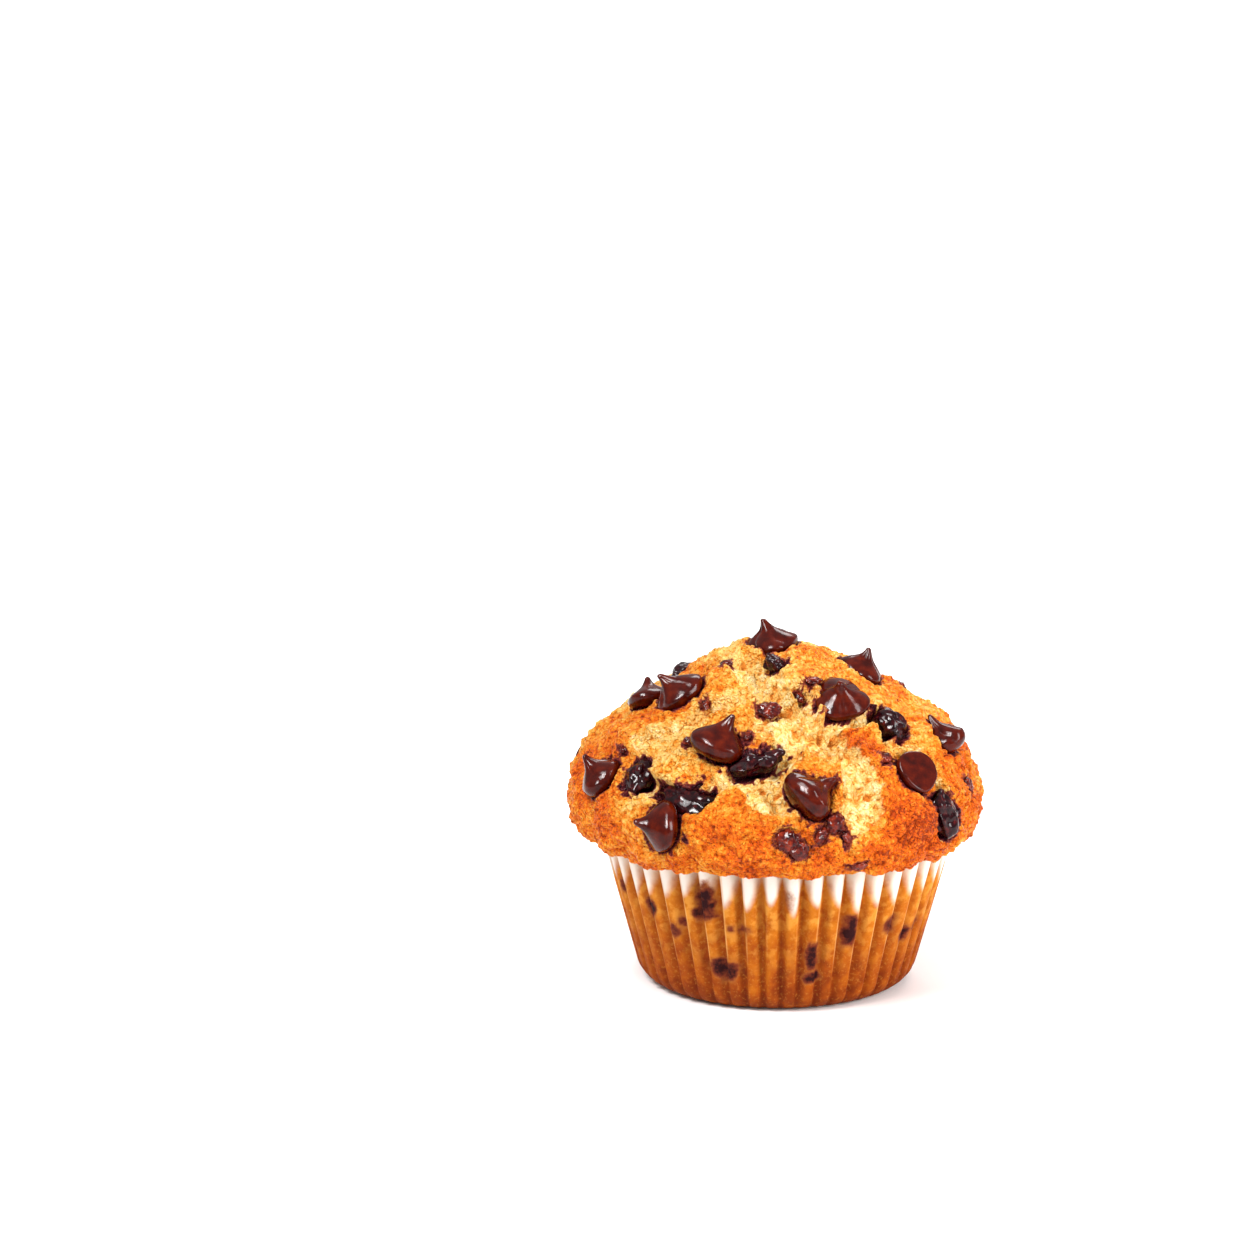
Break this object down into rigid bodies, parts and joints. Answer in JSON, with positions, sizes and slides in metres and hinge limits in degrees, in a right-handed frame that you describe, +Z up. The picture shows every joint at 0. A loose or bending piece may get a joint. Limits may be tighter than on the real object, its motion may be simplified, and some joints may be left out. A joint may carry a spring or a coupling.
{
  "type": "muffin",
  "caption": "Domed chocolate chip muffin with a cracked golden-brown top that overhangs its pleated paper case. A baked snack that stands on a flat surface.",
  "frame": {"origin": "the middle of the paper case's flat foot, which is where the muffin stands", "axes": "+Z up through the crown, -Y towards the side with the deepest cracks in the top"},
  "size_m": [0.0942, 0.0981, 0.0835],
  "materials": {
    "crumb": "baked golden-brown crust over pale open crumb, matte",
    "paper": "thin pleated baking paper, white at the rim and soaked with fat lower down",
    "chocolate": "glossy dark chocolate",
    "melted_chocolate": "wet, glossy melted chocolate"
  },
  "bodies": {
    "root": {"chip_back_high": "chocolate", "chip_back_left": "chocolate", "chip_back_low": "chocolate", "chip_back_low_left": "chocolate", "chip_back_middle": "chocolate", "chip_back_shoulder": "chocolate", "chip_back_side": "chocolate", "chip_centre_left": "chocolate", "chip_centre_low": "chocolate", "chip_left_edge": "chocolate", "chip_lower_left": "chocolate", "chip_pair_left": "chocolate", "chip_pair_right": "chocolate", "chip_right_edge": "chocolate", "chip_right_flat": "chocolate", "chip_top": "chocolate", "chip_top_right": "chocolate", "chip_upper_right": "chocolate", "crumb": "crumb", "melt_back_high": "melted_chocolate", "melt_back_left": "melted_chocolate", "melt_back_low": "melted_chocolate", "melt_back_shoulder": "melted_chocolate", "melt_centre": "melted_chocolate", "melt_left": "melted_chocolate", "melt_right": "melted_chocolate", "melt_right_low": "melted_chocolate", "melt_round": "melted_chocolate", "melt_top": "melted_chocolate", "melt_upper_left": "melted_chocolate", "paper_case": "paper"}
  },
  "joints": []
}
